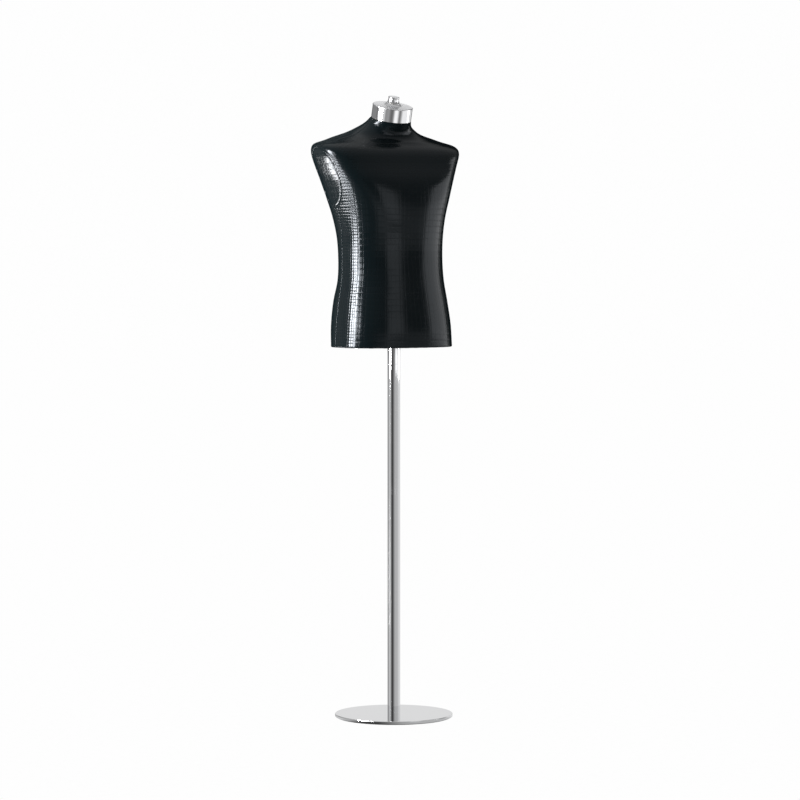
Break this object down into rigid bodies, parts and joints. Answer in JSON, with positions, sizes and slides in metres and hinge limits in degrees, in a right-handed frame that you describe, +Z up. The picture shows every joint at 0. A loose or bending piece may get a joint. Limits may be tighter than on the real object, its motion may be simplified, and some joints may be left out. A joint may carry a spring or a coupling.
{
  "type": "dress form mannequin",
  "caption": "Male torso dress form in embossed leather with a chrome neck cap, standing on a pole and a round base; the torso lifts off and turns.",
  "frame": {"origin": "centre of the base's lower face, on the floor and on the pole's axis", "axes": "+Z up along the pole, -Y the way the chest faces, +X to the torso's left shoulder"},
  "size_m": [0.4312, 0.33, 1.7378],
  "materials": {
    "foam_pad": "matt foam",
    "base_chrome": "polished",
    "pole_chrome": "polished",
    "neck_chrome": "polished",
    "zinc_steel": "zinc plated",
    "nylon": "natural",
    "board": "plywood",
    "fibreglass": "laid resin",
    "cover_leather": "glossy, embossed",
    "brass": "turned"
  },
  "bodies": {
    "stand": {"base_pad": "foam_pad", "base_plate": "base_chrome", "pole_bolt": "zinc_steel", "pole_foot_plug": "zinc_steel", "pole_tube": "pole_chrome", "pole_top_cap": "nylon"},
    "thrust_disc": {"thrust_disc": "nylon"},
    "torso": {"socket_tube": "zinc_steel", "socket_top_plug": "zinc_steel", "socket_flange": "zinc_steel", "flange_screws": "zinc_steel", "hem_board": "board", "torso_shell": "fibreglass", "cover_front": "cover_leather", "cover_back": "cover_leather", "armhole_cover_left": "cover_leather", "armhole_cover_right": "cover_leather", "hem_staples": "zinc_steel", "neck_block": "board", "neck_insert": "brass", "neck_collar": "neck_chrome", "neck_cap": "neck_chrome"},
    "knob_washer": {"knob_washer": "nylon"},
    "knob": {"neck_knob": "neck_chrome", "knob_stud": "zinc_steel"}
  },
  "joints": [
    {"name": "torso_lift", "type": "slide", "parent": "stand", "child": "thrust_disc", "axis": [0, 0, 1], "range_m": [0, 0.2]},
    {"name": "torso_turn", "type": "hinge", "parent": "thrust_disc", "child": "torso", "pos_m": [0, 0, 1.2], "axis": [0, 0, 1], "continuous": true},
    {"name": "knob_rise", "type": "slide", "parent": "torso", "child": "knob_washer", "axis": [0, -0.2588, 0.9659], "range_m": [0, 0.00625]},
    {"name": "knob_turn", "type": "hinge", "parent": "knob_washer", "child": "knob", "pos_m": [0, 0.015, 1.673], "axis": [0, -0.2588, 0.9659], "range_deg": [0, 1800]}
  ],
  "couplings": [
    {"joint": "knob_turn", "follows": "knob_rise", "rad_per_m": 5026.5}
  ]
}
